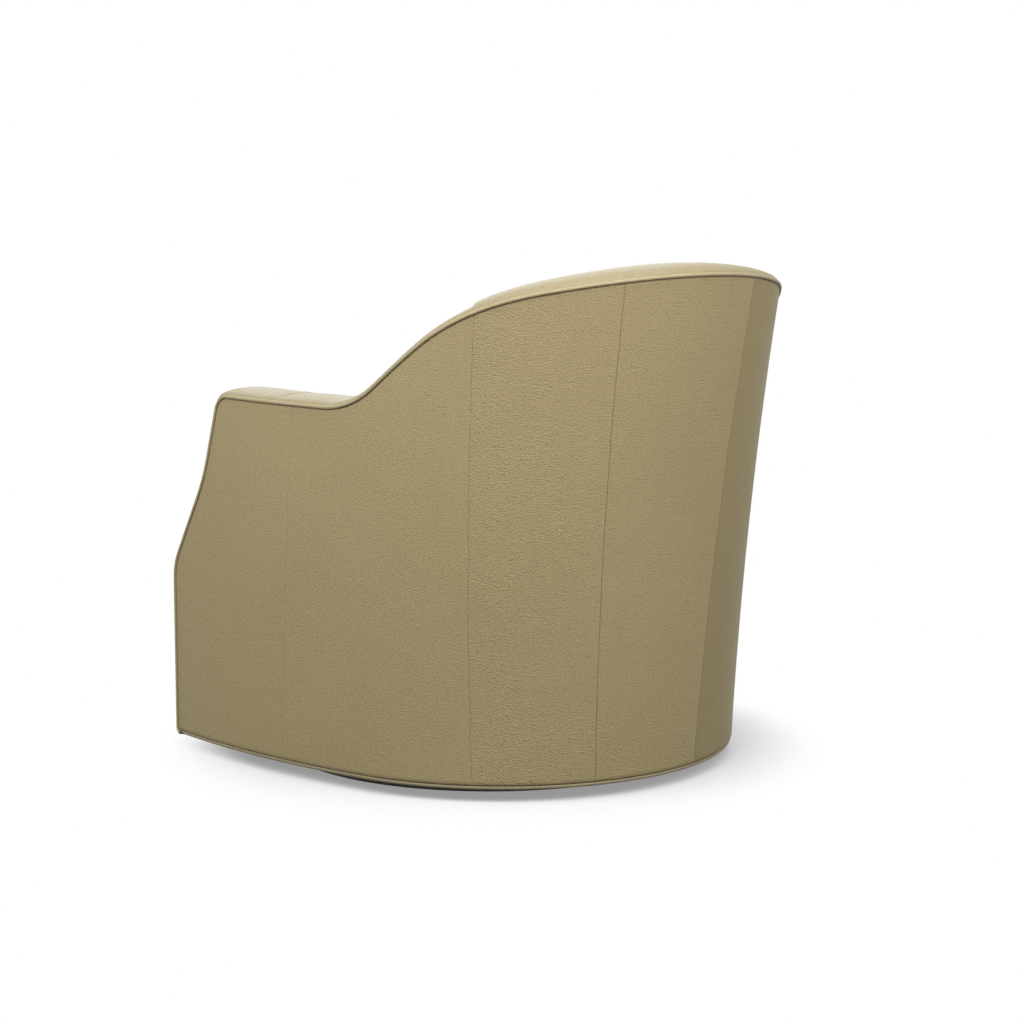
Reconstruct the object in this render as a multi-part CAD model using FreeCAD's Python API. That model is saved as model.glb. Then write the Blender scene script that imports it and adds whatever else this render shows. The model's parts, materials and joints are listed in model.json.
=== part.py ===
import FreeCAD, Part
import math
import os
from FreeCAD import Vector

# Leather swivel chair: an upholstered barrel shell that turns on a low round base.
# The origin is on the floor on the turning axis, the front faces -Y and Z is up.
# Sizes are in millimetres, angles in degrees, left is the sitter's left (+X).

# Outer body, seen from above
back_radius = 362.0
back_centre_y = 33.0
back_half_angle = 72.8
arm_arc_radius = 1400.0
front_y = -288.0
front_bow = 47.0

# Outer body, seen from the side
body_bottom = 20.0
back_height = 750.0
arm_height = 552.0
lean_at_bottom = 3.8
lean_at_top = 12.0
rise_start_y = 145.0
rise_slope = 38.8
back_slope = 15.5
rise_hollow_radius = 150.0
rise_crest_radius = 430.0
arm_front_upright = 274.0
arm_front_bend = 419.0
lower_front_slope = 32.8
upper_front_slope = 18.9
front_knee_radius = 80.0
front_hollow_radius = 300.0
front_corner_radius = 32.0

# Layers of the wall, from the outside in
wall = 100.0
cover = 10.0
shell_board = 4.0
frame_gap = 2.0
frame_depth = 34.0
inner_board = 4.0

# Upholstery
back_roll_crown = 16.0
arm_roll_crown = 12.0
facing_crown = 8.0
roll_shoulder = 14.0
roll_shoulder_share = 0.75
roll_lip_share = 0.3
roll_lip_rise = 0.7
roll_gap = 0.3
corner_drop_share = 0.15
welt_line = 0.5
top_welt_radius = 3.0
bottom_welt_radius = 3.75
bottom_welt_inset = 3.6
lumbar_depth = 60.0
lumbar_height = 430.0
seam_gap = 0.1
centre_seam_low = 97.0
centre_seam_high = 125.0
side_seam_low = 281.0
side_seam_high = 337.0
arm_seam_low = 620.0
arm_seam_high = 650.0

# Seat
deck_top = 300.0
deck_pad = 11.7
cushion_thickness = 140.0
cushion_crown = 22.0
cushion_clearance = 5.0
cushion_rest_gap = 0.3
cushion_corner = 42.0
cushion_bulge = 6.0
cushion_crown_rows = [(0.45, 40.0), (0.8, 90.0), (1.0, 150.0)]
deck_clearance = 2.0

# Wooden frame
board = 18.0
bottom_rail_width = 50.0
seat_rail_height = 48.0
seat_former_thickness = 22.0
front_rail_depth = 32.0
back_rail_depth = 25.0
back_rail_y = 243.0
back_rail_reach = 249.0
post_width = 44.0
front_post_depth = 40.0
arm_rail_thickness = 18.0
back_rail_thickness = 22.0
arm_post_station = 640.0
back_post_station = 246.0
swivel_board_reach = 150.0
web_width = 50.0
web_thickness = 1.5
web_gap = 0.2
web_count = 6
web_pitch = 70.0
spring_wire = 3.8
spring_pitch = 26.0
spring_width = 46.0
spring_bars = 21
spring_rows = 6
spring_spacing = 84.0
clip_width = 16.0
clip_length = 12.0
block_size = 60.0
rail_gap = 0.3
dust_cover = 1.0
dust_cover_hole = 165.0

# Turning base
base_radius = 330.0
base_thickness = 14.0
base_edge_radius = 4.0
glide_height = 3.0
glide_radius = 14.0
glide_circle = 298.0
glide_count = 8
plate = 2.5
lower_plate_size = 230.0
upper_plate_size = 280.0
race_radius = 85.0
race_width = 20.0
ball_radius = 4.0
ball_count = 24
ball_clearance = 0.3
cage_thickness = 1.0
cage_width = 12.0
race_gap = 2.0
pivot_radius = 8.0
pivot_clearance = 0.05
pivot_head_radius = 16.0
pivot_head_height = 3.0
washer_thickness = 2.0
washer_gap = 0.2
nut_radius = 14.0
nut_height = 8.0
plate_screw_radius = 3.0
plate_screw_head_radius = 6.0
plate_screw_head = 2.4
plate_screw_inset = 18.0
lower_screw_length = 13.0
upper_screw_length = 17.0

# Places worked out from the sizes above
rail_z = body_bottom + arm_height
back_z = body_bottom + back_height
frame_out = cover + shell_board + frame_gap
frame_in = frame_out + frame_depth
pad_out = frame_in + frame_gap + inner_board
lean_radius = back_height / (math.sin(math.radians(lean_at_top)) - math.sin(math.radians(lean_at_bottom)))
arm_sweep = 90.0 - back_half_angle
back_arc = back_radius * math.radians(back_half_angle)
arm_arc = arm_arc_radius * math.radians(arm_sweep)
arm_centre_x = (back_radius - arm_arc_radius) * math.sin(math.radians(back_half_angle))
arm_centre_y = back_centre_y + (back_radius - arm_arc_radius) * math.cos(math.radians(back_half_angle))
front_half_width = arm_centre_x + arm_arc_radius
front_reach = 90.0
front_station = back_arc + arm_arc + (arm_centre_y - front_y) + front_reach
seat_former_top = deck_top - deck_pad - spring_wire - seam_gap
seat_former_bottom = seat_former_top - seat_former_thickness
far = 2000.0

# How the lofted pieces are sampled and trimmed
roll_back_sections = 24
roll_arm_sections = 24
tangent_step = 0.5
rail_cut_steps = 120
rail_cut_out = 40.0
rail_cut_in = 175.0
rail_cut_height = 600.0
arm_overheight = 190.0
back_overheight = 30.0

os.makedirs("parts", exist_ok=True)


def save(name, *solids):
    """Write one sub-part, a single solid or a group of alike solids."""
    shape = solids[0] if len(solids) == 1 else Part.makeCompound(list(solids))
    shape.exportStep("parts/" + name + ".step")


def mirrored(shape):
    """The same piece on the sitter's right."""
    return shape.mirror(Vector(0, 0, 0), Vector(1, 0, 0))


def save_pair(name, shape):
    save(name + "_left", shape)
    save(name + "_right", mirrored(shape))


# Plan of the body: a round back that runs tangent into two nearly straight arms.
# A station is the distance along the outer plan from the middle of the back.


def lean_shift(z):
    """How far the plan has moved back at a height: the wall leans along a large arc."""
    start = math.radians(lean_at_bottom)
    angle = math.asin(math.sin(start) + (z - body_bottom) / lean_radius)
    return lean_radius * (math.cos(start) - math.cos(angle))


def plan_point(station, inset, z):
    side = math.copysign(1.0, station)
    run = abs(station)
    shift = lean_shift(z)
    if run <= back_arc:
        angle = run / back_radius
        radius = back_radius - inset
        return Vector(side * radius * math.sin(angle), back_centre_y + radius * math.cos(angle) + shift, z)
    if run <= back_arc + arm_arc:
        angle = math.radians(arm_sweep) - (run - back_arc) / arm_arc_radius
        radius = arm_arc_radius - inset
        x = arm_centre_x + radius * math.cos(angle)
        return Vector(side * x, arm_centre_y + radius * math.sin(angle) + shift, z)
    straight = run - back_arc - arm_arc
    return Vector(side * (front_half_width - inset), arm_centre_y - straight + shift, z)


def plan_edges(start, end, inset, z):
    """The plan line from one station to another as true arcs and lines."""
    joints = [-back_arc - arm_arc, -back_arc, back_arc, back_arc + arm_arc]
    low = min(start, end)
    high = max(start, end)
    stops = [low] + [j for j in joints if low < j < high] + [high]
    if start > end:
        stops.reverse()
    edges = []
    for first, second in zip(stops, stops[1:]):
        middle = (first + second) / 2
        ends = [plan_point(s, inset, z) for s in (first, middle, second)]
        if abs(middle) > back_arc + arm_arc:
            edges.append(Part.makeLine(ends[0], ends[2]))
        else:
            edges.append(Part.Arc(*ends).toShape())
    return edges


def lofted(wires):
    return Part.makeLoft(wires, True, False)


def seam(low, high):
    """A seam's station at a height, straight between its two ends."""
    return lambda z: low + (high - low) * (z - body_bottom) / back_height


def fixed(station):
    return lambda z: station


def wall_piece(start, end, outer, inner, z_low, z_high, levels=5):
    """A piece of the leaning wall between two stations, two insets and two heights."""
    wires = []
    for level in range(levels):
        z = z_low + (z_high - z_low) * level / (levels - 1)
        outside = plan_edges(start(z), end(z), outer, z)
        inside = plan_edges(end(z), start(z), inner, z)
        near = Part.makeLine(plan_point(end(z), outer, z), plan_point(end(z), inner, z))
        back = Part.makeLine(plan_point(start(z), inner, z), plan_point(start(z), outer, z))
        wires.append(Part.Wire(outside + [near] + inside + [back]))
    return lofted(wires)


# Side view of the body: level arms, a sweep up to the back, and arm fronts that slant back.


def rail_height(y):
    """Height of the top welt line over the outer wall at a place from front to back."""
    steep = math.radians(rise_slope)
    gentle = math.radians(back_slope)
    back_y = back_centre_y + back_radius + lean_shift(back_z)
    crest_y = ((back_z - back_y * math.tan(gentle)) - (rail_z - rise_start_y * math.tan(steep))) / (
        math.tan(steep) - math.tan(gentle))
    crest_z = rail_z + (crest_y - rise_start_y) * math.tan(steep)
    hollow_run = rise_hollow_radius * math.tan(steep / 2)
    crest_run = rise_crest_radius * math.tan((steep - gentle) / 2)
    hollow_y = rise_start_y - hollow_run
    crest_start_y = crest_y - crest_run * math.cos(steep)
    crest_start_z = crest_z - crest_run * math.sin(steep)
    if y < hollow_y:
        return rail_z
    if y < rise_start_y + hollow_run * math.cos(steep):
        return rail_z + rise_hollow_radius - math.sqrt(rise_hollow_radius ** 2 - (y - hollow_y) ** 2)
    if y < crest_start_y:
        return rail_z + (y - rise_start_y) * math.tan(steep)
    if y < crest_y + crest_run * math.cos(gentle):
        centre_y = crest_start_y + rise_crest_radius * math.sin(steep)
        centre_z = crest_start_z - rise_crest_radius * math.cos(steep)
        return centre_z + math.sqrt(rise_crest_radius ** 2 - (y - centre_y) ** 2)
    return back_z - (back_y - y) * math.tan(gentle)


def rail_level(station):
    """Height of the top welt at a station, on the leaning wall."""
    z = rail_z
    for _ in range(30):
        z = rail_height(plan_point(station, 0.0, z).y)
    return z


def rounded_path(points, radii):
    """Lines through the points, with an arc of each radius at the corners between."""
    edges = []
    last = points[0]
    for before, corner, after, radius in zip(points, points[1:], points[2:], radii):
        into = (corner - before).normalize()
        out = (after - corner).normalize()
        turn = into.getAngle(out)
        run = radius * math.tan(turn / 2)
        start = corner - into * run
        end = corner + out * run
        inward = (out - into).normalize()
        middle = corner + inward * (radius / math.cos(turn / 2) - radius)
        edges.append(Part.makeLine(last, start))
        edges.append(Part.Arc(start, middle, end).toShape())
        last = end
    edges.append(Part.makeLine(last, points[-1]))
    return edges


knee_z = body_bottom + arm_front_upright
bend_z = body_bottom + arm_front_bend
bend_y = front_y + (bend_z - knee_z) * math.tan(math.radians(lower_front_slope))
arm_corner_y = bend_y + (rail_z - bend_z) * math.tan(math.radians(upper_front_slope))
corner_run = front_corner_radius * math.tan(math.radians(90.0 - upper_front_slope) / 2)
arm_front_points = [Vector(0, front_y, 0), Vector(0, front_y, knee_z), Vector(0, bend_y, bend_z),
                    Vector(0, arm_corner_y, rail_z), Vector(0, arm_corner_y + 2 * corner_run, rail_z)]
arm_front_radii = [front_knee_radius, front_hollow_radius, front_corner_radius]
arm_front_edges = rounded_path(arm_front_points, arm_front_radii)[:-1]


def behind_front(offset=0.0):
    """The space behind the arm fronts, through the whole width of the chair."""
    top_y = arm_corner_y + corner_run
    closing = [Part.makeLine(Vector(0, top_y, rail_z), Vector(0, top_y, far)),
               Part.makeLine(Vector(0, top_y, far), Vector(0, far, far)),
               Part.makeLine(Vector(0, far, far), Vector(0, far, 0)),
               Part.makeLine(Vector(0, far, 0), Vector(0, front_y, 0))]
    outline = Part.Face(Part.Wire(arm_front_edges + closing))
    outline.translate(Vector(-far / 2, offset, 0))
    return outline.extrude(Vector(far, 0, 0))


def above_rail():
    """The space above the level line that the top roll stands on."""
    steps = range(rail_cut_steps + 1)
    stations = [front_station * (2 * i / rail_cut_steps - 1) for i in steps]
    rows = []
    for inset in (-rail_cut_out, rail_cut_in):
        points = [plan_point(station, inset, rail_level(station)) for station in stations]
        curve = Part.BSplineCurve()
        curve.interpolate(Points=points, Parameters=[float(i) for i in steps])
        rows.append(curve.toShape())
    face = Part.makeRuledSurface(rows[0], rows[1])
    return face.extrude(Vector(0, 0, rail_cut_height))


rail_space = above_rail()
front_space = behind_front()


def trimmed(piece, top=0.0, front=0.0):
    """Cut a wall piece to the rail line above and to the arm front."""
    above = rail_space.copy()
    above.translate(Vector(0, 0, -top))
    behind = front_space.copy()
    behind.translate(Vector(0, front, -front * corner_drop_share))
    return piece.common(behind).cut(above).removeSplitter()


# Seams that divide the outer cover
centre_seam = seam(centre_seam_low, centre_seam_high)
side_seam = seam(side_seam_low, side_seam_high)
arm_seam = seam(arm_seam_low, arm_seam_high)
front_end = fixed(front_station)
arm_wall_top = rail_z + arm_overheight
back_wall_top = back_z + back_overheight
panel_trim = (top_welt_radius + roll_gap) / math.cos(math.radians(rise_slope))
cover_bottom = body_bottom + 2 * bottom_welt_radius


def opposite(line):
    return lambda z: -line(z)


# Outer cover: padded leather panels, three over the back and two on each arm
back_panel = wall_piece(opposite(centre_seam), centre_seam, 0.0, cover, cover_bottom, back_wall_top)
save("back_panel_centre", trimmed(back_panel, panel_trim))
side_panel = wall_piece(centre_seam, side_seam, 0.0, cover, cover_bottom, back_wall_top)
save_pair("back_panel", trimmed(side_panel, panel_trim))
arm_rear = wall_piece(side_seam, arm_seam, 0.0, cover, cover_bottom, arm_wall_top)
save_pair("arm_panel_rear", trimmed(arm_rear, panel_trim, panel_trim))
arm_front = wall_piece(arm_seam, front_end, 0.0, cover, cover_bottom, arm_wall_top)
save_pair("arm_panel_front", trimmed(arm_front, panel_trim, panel_trim))

# Bent boards under the outer cover
back_board = wall_piece(opposite(side_seam), side_seam, cover, cover + shell_board, cover_bottom,
                        back_wall_top)
save("back_shell_board", trimmed(back_board, roll_gap))
arm_board = wall_piece(side_seam, front_end, cover, cover + shell_board, cover_bottom, arm_wall_top)
save_pair("arm_shell_board", trimmed(arm_board, roll_gap, roll_gap))

# Boards behind the inside of the arms
inner = wall_piece(side_seam, front_end, frame_in + frame_gap, pad_out, seat_former_top, arm_wall_top)
save_pair("arm_inner_board", trimmed(inner, roll_gap, roll_gap))

# Wooden frame: a U-shaped bottom board, a U-shaped former at seat height and the posts between
bottom_top = body_bottom + board
bottom_in = frame_out + bottom_rail_width
bottom_former = wall_piece(fixed(-front_station), front_end, frame_out, bottom_in, body_bottom, bottom_top, 2)
bottom_former = bottom_former.common(front_space)
seat_former = wall_piece(fixed(-front_station), front_end, frame_out, frame_in, seat_former_bottom,
                         seat_former_top, 2)
post_space = behind_front(front_post_depth)
seat_former = seat_former.common(post_space)
save("seat_former", seat_former)

frame_arm = wall_piece(side_seam, front_end, frame_out, frame_in, bottom_top, arm_wall_top)
frame_arm = trimmed(frame_arm, roll_gap, roll_gap)
front_post = frame_arm.cut(post_space)
lowered_rail = rail_space.copy()
lowered_rail.translate(Vector(0, 0, -arm_rail_thickness))
arm_rail = frame_arm.common(post_space).common(lowered_rail)
save_pair("arm_front_post", front_post)
save_pair("arm_top_rail", arm_rail)

frame_back = wall_piece(opposite(side_seam), side_seam, frame_out, frame_in, bottom_top, back_wall_top)
frame_back = trimmed(frame_back, roll_gap)
lowered_rail = rail_space.copy()
lowered_rail.translate(Vector(0, 0, -back_rail_thickness))
back_rail = frame_back.common(lowered_rail)
save("back_top_rail", back_rail)


def post(station, top, rail_thickness):
    """A post that leans with the wall, in two lengths: below and above the seat former."""
    half = post_width / 2
    start = fixed(station - half)
    end = fixed(station + half)
    lower = wall_piece(start, end, frame_out, frame_in, bottom_top, seat_former_bottom)
    upper = wall_piece(start, end, frame_out, frame_in, seat_former_top, top)
    return lower, trimmed(upper, rail_thickness)


arm_post = post(arm_post_station, arm_wall_top, arm_rail_thickness)
back_post = post(back_post_station, back_wall_top, back_rail_thickness)
save_pair("arm_post", Part.makeCompound(arm_post))
save_pair("back_post", Part.makeCompound(back_post))
save("back_post_centre", *post(0.0, back_wall_top, back_rail_thickness))

# Webbing across the inside of the back, fixed to the posts
web_low = deck_top + post_width
web_out = frame_in + web_gap
webs = []
for row in range(web_count):
    z = web_low + row * web_pitch
    web = wall_piece(opposite(side_seam), side_seam, web_out, web_out + web_thickness, z, z + web_width, 2)
    webs.append(trimmed(web, roll_gap))
save("back_webbing", *webs)

# Front of the seat: a bowed padded border on a board and two rails
chord = front_half_width - wall
bow_radius = (chord ** 2 + front_bow ** 2) / (2 * front_bow)
bow_centre = Vector(0, front_y - front_bow + bow_radius, 0)


def bowed(depth_out, depth_in, half, z_low, z_high):
    """A piece that follows the bowed front, between two depths and out to a half width."""
    height = z_high - z_low
    outer = Part.makeCylinder(bow_radius - depth_out, height, bow_centre + Vector(0, 0, z_low))
    inner = Part.makeCylinder(bow_radius - depth_in, height, bow_centre + Vector(0, 0, z_low))
    strip = Part.makeBox(2 * half, bow_radius, height, Vector(-half, front_y - 2 * front_bow, z_low))
    return outer.cut(inner).common(strip)


border_top = deck_top - deck_pad
border_half = chord - top_welt_radius - seam_gap
rail_out = cover + shell_board
rail_reach = front_half_width - frame_in - rail_gap
seat_rail_bottom = seat_former_top - seat_rail_height
save("front_border", bowed(0.0, cover, border_half, cover_bottom, border_top))
save("front_shell_board", bowed(cover, rail_out, border_half, cover_bottom, border_top))
front_rail = bowed(rail_out, rail_out + front_rail_depth, rail_reach, seat_rail_bottom, seat_former_top)
front_rail = front_rail.cut(front_post).cut(mirrored(front_post))
save("seat_front_rail", front_rail)
bottom_reach = front_half_width - bottom_in + board
bottom_rail = bowed(rail_out, rail_out + bottom_rail_width, bottom_reach, body_bottom, bottom_top)
save("bottom_front_rail", bottom_rail.cut(bottom_former))

back_seat_rail = Part.makeBox(2 * back_rail_reach, back_rail_depth, seat_rail_height,
                              Vector(-back_rail_reach, back_rail_y, seat_rail_bottom))
inside_wall = wall_piece(fixed(-back_arc), fixed(back_arc), frame_in + rail_gap, 2 * wall,
                         seat_rail_bottom, seat_former_top, 2)
save("seat_back_rail", back_seat_rail.common(inside_wall))


def corner_block(side):
    """A glued block in the corner between the front rail and the arm post."""
    x = side * rail_reach
    y = front_y + front_post_depth + seam_gap
    z = seat_rail_bottom
    corners = [Vector(x, y, z), Vector(x, y + block_size, z), Vector(x - side * block_size, y, z),
               Vector(x, y, z)]
    block = Part.Face(Part.makePolygon(corners)).extrude(Vector(0, 0, seat_former_bottom - z))
    return block.cut(front_rail).cut(bottom_former)


save("corner_blocks", corner_block(1), corner_block(-1))

# Top roll: a crowned strip between two welts, over the back and along each arm,
# that ends in a facing down the arm front


def section_frame(point, tangent, inward):
    """A place on the edge of the wall, its inward direction and the way out of the surface."""
    return point, inward, inward.cross(tangent).normalize()


def inward_at(point):
    """Level direction from the outer wall to the inside."""
    y = point.y - lean_shift(point.z)
    junction = back_centre_y + back_radius * math.cos(math.radians(back_half_angle))
    side = math.copysign(1.0, point.x)
    if y > junction:
        return Vector(-point.x, back_centre_y - y, 0).normalize()
    if y > arm_centre_y:
        angle = math.asin((y - arm_centre_y) / arm_arc_radius)
        return Vector(-side * math.cos(angle), -math.sin(angle), 0)
    return Vector(-side, 0, 0)


def on_wall(y, z):
    """The outer wall point of the left arm at a place in the side view."""
    flat = y - lean_shift(z)
    if flat > arm_centre_y:
        x = arm_centre_x + math.sqrt(arm_arc_radius ** 2 - (flat - arm_centre_y) ** 2)
    else:
        x = front_half_width
    return Vector(x, y, z)


def rail_frames(start, end, count):
    frames = []
    for i in range(count + 1):
        station = start + (end - start) * i / count
        point = plan_point(station, 0.0, rail_level(station))
        back = station - tangent_step
        ahead = station + tangent_step
        before = plan_point(back, 0.0, rail_level(back))
        after = plan_point(ahead, 0.0, rail_level(ahead))
        frames.append(section_frame(point, (after - before).normalize(), inward_at(point)))
    return frames


def placed(frame, across, up):
    point, inward, rise = frame
    return point + inward * across + rise * up


def roll_section(frame, crown):
    """Cross-section of the roll: flat below, rebated for the welts, crowned on top."""
    edge = welt_line
    rebate = edge + top_welt_radius + seam_gap
    shoulder = crown * roll_shoulder_share
    rise = top_welt_radius + (shoulder - top_welt_radius) * roll_lip_rise
    lip = roll_shoulder * roll_lip_share
    corners = [(edge, top_welt_radius), (rebate, top_welt_radius), (rebate, 0.0), (wall - rebate, 0.0),
               (wall - rebate, top_welt_radius), (wall - edge, top_welt_radius)]
    points = [placed(frame, across, up) for across, up in corners]
    edges = [Part.makeLine(first, second) for first, second in zip(points, points[1:])]
    arcs = [[(wall - edge, top_welt_radius), (wall - lip, rise), (wall - roll_shoulder, shoulder)],
            [(wall - roll_shoulder, shoulder), (wall / 2, crown), (roll_shoulder, shoulder)],
            [(roll_shoulder, shoulder), (lip, rise), (edge, top_welt_radius)]]
    for arc in arcs:
        edges.append(Part.Arc(*[placed(frame, across, up) for across, up in arc]).toShape())
    return Part.Wire(edges)


def round_section(frame, across, radius):
    """A circle of three arcs about a point at a distance in from the outer edge."""
    edges = []
    for third in range(3):
        points = []
        for part in range(3):
            angle = math.radians(120.0 * third + 60.0 * part)
            points.append(placed(frame, across + radius * math.cos(angle), radius * math.sin(angle)))
        edges.append(Part.Arc(*points).toShape())
    return Part.Wire(edges)


back_seam_station = side_seam(rail_level(side_seam(back_z)))
corner_station = back_arc
while plan_point(corner_station, 0.0, rail_z).y > arm_corner_y + corner_run + roll_gap:
    corner_station += 0.25
back_frames = rail_frames(-back_seam_station, back_seam_station, roll_back_sections)
arm_frames = rail_frames(back_seam_station, corner_station, roll_arm_sections)

facing_points = [Vector(0, front_y, cover_bottom)] + arm_front_points[1:]
facing_runs = []
for edge in reversed(rounded_path(facing_points, arm_front_radii)[:-1]):
    steps = 4 if edge.Curve.TypeId == "Part::GeomCircle" else 2
    run = []
    for i in range(steps + 1):
        at = edge.LastParameter + (edge.FirstParameter - edge.LastParameter) * i / steps
        flat = edge.valueAt(at)
        along = edge.tangentAt(at)
        point = on_wall(flat.y, flat.z)
        ahead = on_wall(flat.y - along.y, flat.z - along.z)
        run.append(section_frame(point, (ahead - point).normalize(), inward_at(point)))
    facing_runs.append(run)

save("back_roll", lofted([roll_section(frame, back_roll_crown) for frame in back_frames]))
save_pair("arm_roll", lofted([roll_section(frame, arm_roll_crown) for frame in arm_frames]))
facing_parts = []
for number, run in enumerate(facing_runs):
    sections = []
    for i, frame in enumerate(run):
        share = i / (len(run) - 1) if number == 0 else 1.0
        sections.append(roll_section(frame, arm_roll_crown + (facing_crown - arm_roll_crown) * share))
    facing_parts.append(lofted(sections))
save_pair("arm_facing", facing_parts[0].fuse(facing_parts[1:]).removeSplitter())

# Welts: leather-covered cords sewn in along both edges of the roll and the facing
welts = {"outer_welt": welt_line, "inner_welt": wall - welt_line}
for name, across in welts.items():
    back_welt = lofted([round_section(frame, across, top_welt_radius) for frame in back_frames])
    arm_welt = lofted([round_section(frame, across, top_welt_radius) for frame in arm_frames])
    lengths = []
    for run in facing_runs:
        lengths.append(lofted([round_section(frame, across, top_welt_radius) for frame in run]))
    front_welt = lengths[0].fuse(lengths[1:]).removeSplitter()
    save(name, back_welt, arm_welt, mirrored(arm_welt), front_welt, mirrored(front_welt))

# Bottom welt, tucked under the outer cover
welt_inset = bottom_welt_inset + bottom_welt_radius
welt_z = body_bottom + bottom_welt_radius
welt_end = back_arc + arm_arc + (arm_centre_y - front_y)
welt_path = Part.Wire(plan_edges(-welt_end, welt_end, welt_inset, welt_z))
welt_start = plan_point(-welt_end, welt_inset, welt_z)
welt_circle = Part.Wire(Part.makeCircle(bottom_welt_radius, welt_start, Vector(0, 1, 0)))
save("bottom_welt", welt_path.makePipeShell([welt_circle], True, False))

# Inside arms and inside back
inside_arm = wall_piece(side_seam, front_end, pad_out, wall, border_top, arm_wall_top)
save_pair("inside_arm_pad", trimmed(inside_arm, panel_trim, panel_trim))


def lumbar(z):
    """How far the inside back stands out from the even wall at a height."""
    span = back_z - lumbar_height
    away = (z - lumbar_height) / span
    return lumbar_depth * max(0.0, 1.0 - away * away)


def inside_back_edge(inset, z):
    """The crowned front line of the inside back, from one side seam to the other."""
    ends = [plan_point(-side_seam(z), inset, z), plan_point(side_seam(z), inset, z)]
    middle = plan_point(0.0, inset + lumbar(z), z)
    return Part.Arc(ends[1], middle, ends[0]).toShape()


levels = 7
wires = []
for level in range(levels):
    z = border_top + (back_wall_top - border_top) * level / (levels - 1)
    outside = plan_edges(-side_seam(z), side_seam(z), pad_out, z)
    near = Part.makeLine(plan_point(side_seam(z), pad_out, z), plan_point(side_seam(z), wall, z))
    back = Part.makeLine(plan_point(-side_seam(z), wall, z), plan_point(-side_seam(z), pad_out, z))
    wires.append(Part.Wire(outside + [near, inside_back_edge(wall, z), back]))
save("inside_back_pad", trimmed(lofted(wires), panel_trim))


# Seat: the line that the deck and the loose cushion follow inside the arms


def opposite_point(point):
    return Vector(-point.x, point.y, point.z)


def seat_outline(clearance, z):
    """The seat's plan at deck height, drawn in by a clearance, with rounded front corners."""
    inset = wall + clearance
    bow = bow_radius - clearance
    seam_station = side_seam(deck_top)
    side_run = arm_centre_y - front_y + lean_shift(deck_top) - cushion_clearance - cushion_corner
    side_end = back_arc + arm_arc + side_run
    right = plan_edges(-side_end, -seam_station, inset, deck_top)
    left = plan_edges(seam_station, side_end, inset, deck_top)
    back_ends = [plan_point(-seam_station, inset, deck_top), plan_point(seam_station, inset, deck_top)]
    back_middle = plan_point(0.0, inset + lumbar(deck_top), deck_top)
    back = Part.Arc(back_ends[0], back_middle, back_ends[1]).toShape()
    side_point = plan_point(side_end, inset, deck_top)
    bow_x = side_point.x - cushion_corner
    bow_y = bow_centre.y - math.sqrt(bow ** 2 - bow_x ** 2)
    front_point = Vector(bow_x, bow_y, deck_top)
    tip = Vector(0, bow_centre.y - bow, deck_top)
    corner = Vector(side_point.x, side_point.y - cushion_corner, deck_top)
    quarter_reach = 2 - math.sqrt(2)
    bend = corner + ((side_point + front_point) * 0.5 - corner) * quarter_reach
    front = Part.Arc(front_point, tip, opposite_point(front_point)).toShape()
    left_corner = Part.Arc(side_point, bend, front_point).toShape()
    right_corner = Part.Arc(opposite_point(front_point), opposite_point(bend),
                            opposite_point(side_point)).toShape()
    edges = right + [back] + left + [left_corner, front, right_corner]
    wire = Part.Wire(edges)
    wire.translate(Vector(0, 0, z - deck_top))
    return wire


deck = Part.Face(seat_outline(deck_clearance, deck_top - deck_pad)).extrude(Vector(0, 0, deck_pad))
save("deck_pad", deck)

cushion_bottom = deck_top + cushion_rest_gap
cushion_edge = cushion_bottom + cushion_thickness
rows = [(cushion_bottom, 2 * cushion_bulge), (cushion_bottom + cushion_bulge, cushion_bulge / 2),
        (cushion_bottom + cushion_thickness / 2, 0.0), (cushion_edge - cushion_bulge, cushion_bulge / 2),
        (cushion_edge, 2 * cushion_bulge)]
sides = lofted([seat_outline(cushion_clearance + draw, z) for z, draw in rows])
crown_rows = [(0.0, 2 * cushion_bulge)] + cushion_crown_rows
crown = lofted([seat_outline(cushion_clearance + draw, cushion_edge + rise * cushion_crown)
                for rise, draw in crown_rows])
save("seat_cushion", sides.fuse(crown).removeSplitter())

# Seat suspension: sinuous springs clipped to the front and back rails
spring_z = seat_former_top + spring_wire / 2
bar_half = spring_width / 2 - spring_pitch / 2
spring_back_y = back_rail_y + back_rail_depth / 2
springs = []
clips = []
for row in range(spring_rows):
    x = (row - (spring_rows - 1) / 2) * spring_spacing
    edges = []
    side = 1
    bars = spring_bars + 1
    for bar in range(bars):
        y = spring_back_y - bar * spring_pitch
        start = Vector(x - side * bar_half, y, spring_z)
        end = Vector(x + side * bar_half, y, spring_z)
        edges.append(Part.makeLine(start, end))
        if bar < bars - 1:
            reach = spring_pitch / 2
            middle = Vector(x + side * (bar_half + reach), y - reach, spring_z)
            low = Vector(x + side * bar_half, y - spring_pitch, spring_z)
            slant = reach * math.sqrt(0.5)
            first = Vector(x + side * (bar_half + slant), y - reach + slant, spring_z)
            second = Vector(x + side * (bar_half + slant), y - reach - slant, spring_z)
            edges.append(Part.Arc(end, first, middle).toShape())
            edges.append(Part.Arc(middle, second, low).toShape())
        side = -side
    path = Part.Wire(edges)
    ring = Part.Wire(Part.makeCircle(spring_wire / 2, edges[0].Vertexes[0].Point, Vector(1, 0, 0)))
    spring = path.makePipeShell([ring], True, False)
    springs.append(spring)
    for y in (spring_back_y, spring_back_y - spring_bars * spring_pitch):
        place = Vector(x - clip_width / 2, y - clip_length / 2, seat_former_top)
        clip = Part.makeBox(clip_width, clip_length, spring_wire, place)
        clips.append(clip.cut(spring))
save("seat_springs", *springs)
save("spring_clips", *clips)

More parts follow.
